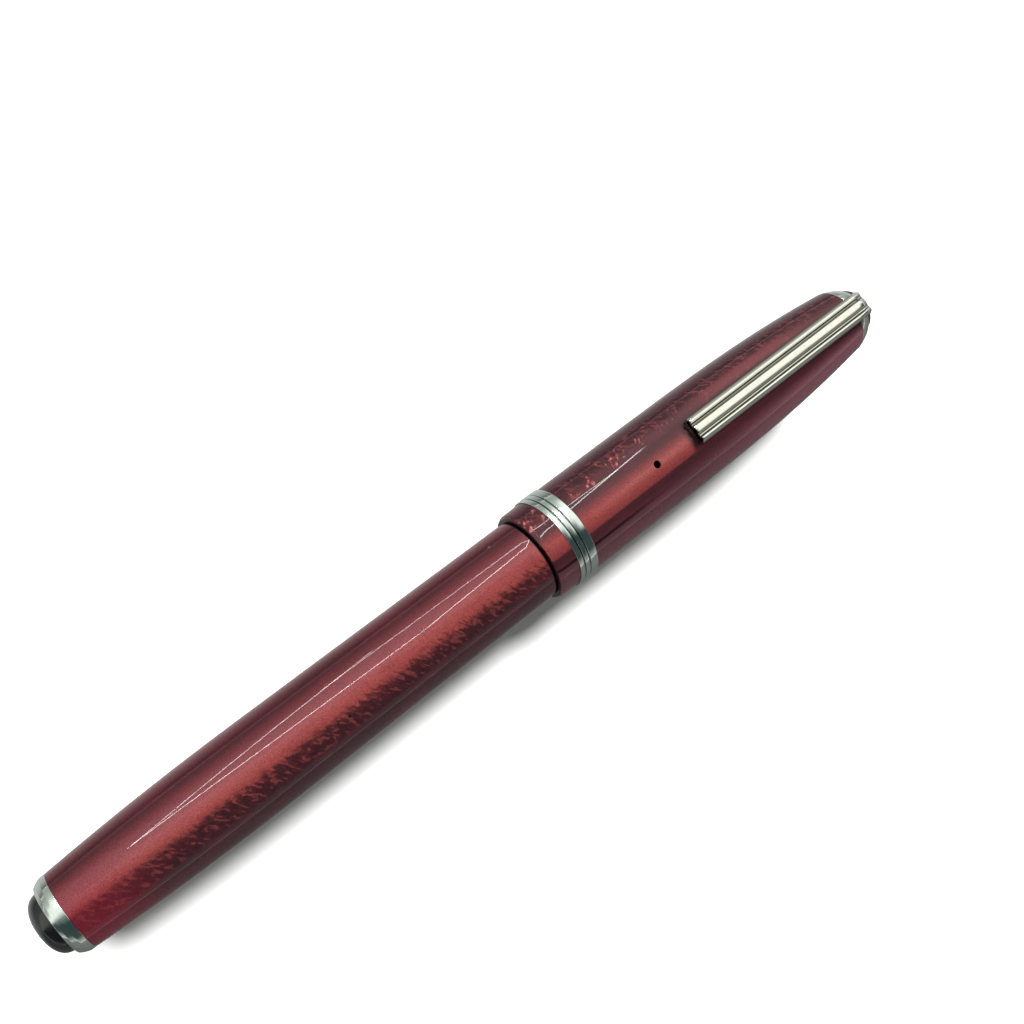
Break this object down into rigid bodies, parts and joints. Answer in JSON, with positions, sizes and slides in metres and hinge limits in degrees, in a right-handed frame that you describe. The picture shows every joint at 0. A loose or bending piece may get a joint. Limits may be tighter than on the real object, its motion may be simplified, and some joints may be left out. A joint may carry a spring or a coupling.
{
  "type": "fountain pen",
  "caption": "Lever-filling fountain pen with screw cap, spring clip, ribbed cap band, end jewels, ink sac and an interchangeable screw-in nib unit.",
  "frame": {"origin": "on the pen's axis at the barrel's shoulder, where the closed cap's lip meets it", "axes": "+X along the axis towards the cap's top, +Z towards the clip, the lever at -Z"},
  "size_m": [0.1265, 0.0124, 0.0134],
  "materials": {
    "pearl_red": "polished pearlescent dark red, with fine marbling",
    "black_plastic": "polished black",
    "inner_plastic": "matte black",
    "bright_steel": "polished steel",
    "clip_steel": "polished steel, lightly worn",
    "lever_steel": "satin steel",
    "spring_steel": "plain spring steel",
    "nib_steel": "polished steel",
    "tip_alloy": "ground hard alloy",
    "feed_rubber": "satin black hard rubber",
    "sac_rubber": "soft latex, dusted"
  },
  "bodies": {
    "barrel": {"barrel": "pearl_red", "tail_ring": "bright_steel", "tail_jewel": "black_plastic", "lever_pin": "lever_steel", "bar_spring": "spring_steel", "ink_sac": "sac_rubber", "section": "black_plastic"},
    "lever": {"lever": "lever_steel"},
    "pressure_bar": {"pressure_bar": "spring_steel"},
    "nib_collar": {"nib_collar": "black_plastic"},
    "nib_unit": {"feed": "feed_rubber", "nib": "nib_steel", "nib_tip": "tip_alloy"},
    "inner_cap": {"inner_cap": "inner_plastic"},
    "cap_jewel": {"cap_jewel": "black_plastic"},
    "cap": {"cap_shell": "pearl_red", "cap_band": "bright_steel", "clip_ring": "bright_steel"},
    "clip": {"clip": "clip_steel"}
  },
  "joints": [
    {"name": "lever_swing", "type": "hinge", "parent": "barrel", "child": "lever", "pos_m": [-0.015, 0, -0.00445], "axis": [0, -1, 0], "range_deg": [0, 85], "stiffness_Nm_per_rad": 0.01},
    {"name": "bar_press", "type": "hinge", "parent": "barrel", "child": "pressure_bar", "pos_m": [-0.047, 0, -0.00337], "axis": [0, -1, 0], "range_deg": [0, 6.9], "deforming": ["ink_sac"]},
    {"name": "nib_unit_draw", "type": "slide", "parent": "barrel", "child": "nib_collar", "axis": [1, 0, 0], "range_m": [0, 0.006]},
    {"name": "nib_unit_turn", "type": "hinge", "parent": "nib_collar", "child": "nib_unit", "pos_m": [0.021, 0, 0], "axis": [1, 0, 0], "range_deg": [0, 3600]},
    {"name": "cap_pull", "type": "slide", "parent": "barrel", "child": "inner_cap", "axis": [1, 0, 0], "range_m": [0, 0.06]},
    {"name": "cap_advance", "type": "slide", "parent": "inner_cap", "child": "cap_jewel", "axis": [1, 0, 0], "range_m": [0, 0.0054]},
    {"name": "cap_turn", "type": "hinge", "parent": "cap_jewel", "child": "cap", "pos_m": [0, 0, 0], "axis": [1, 0, 0], "range_deg": [0, 540]},
    {"name": "clip_flex", "type": "hinge", "parent": "cap", "child": "clip", "pos_m": [0.06005, 0, 0.00428], "axis": [0, 1, 0], "range_deg": [0, 2], "stiffness_Nm_per_rad": 4}
  ],
  "couplings": [
    {"joint": "bar_press", "follows": "lever_swing", "ratio": 0.08},
    {"joint": "nib_unit_turn", "follows": "nib_unit_draw", "rad_per_m": 10472},
    {"joint": "cap_turn", "follows": "cap_advance", "rad_per_m": 1745.3}
  ]
}
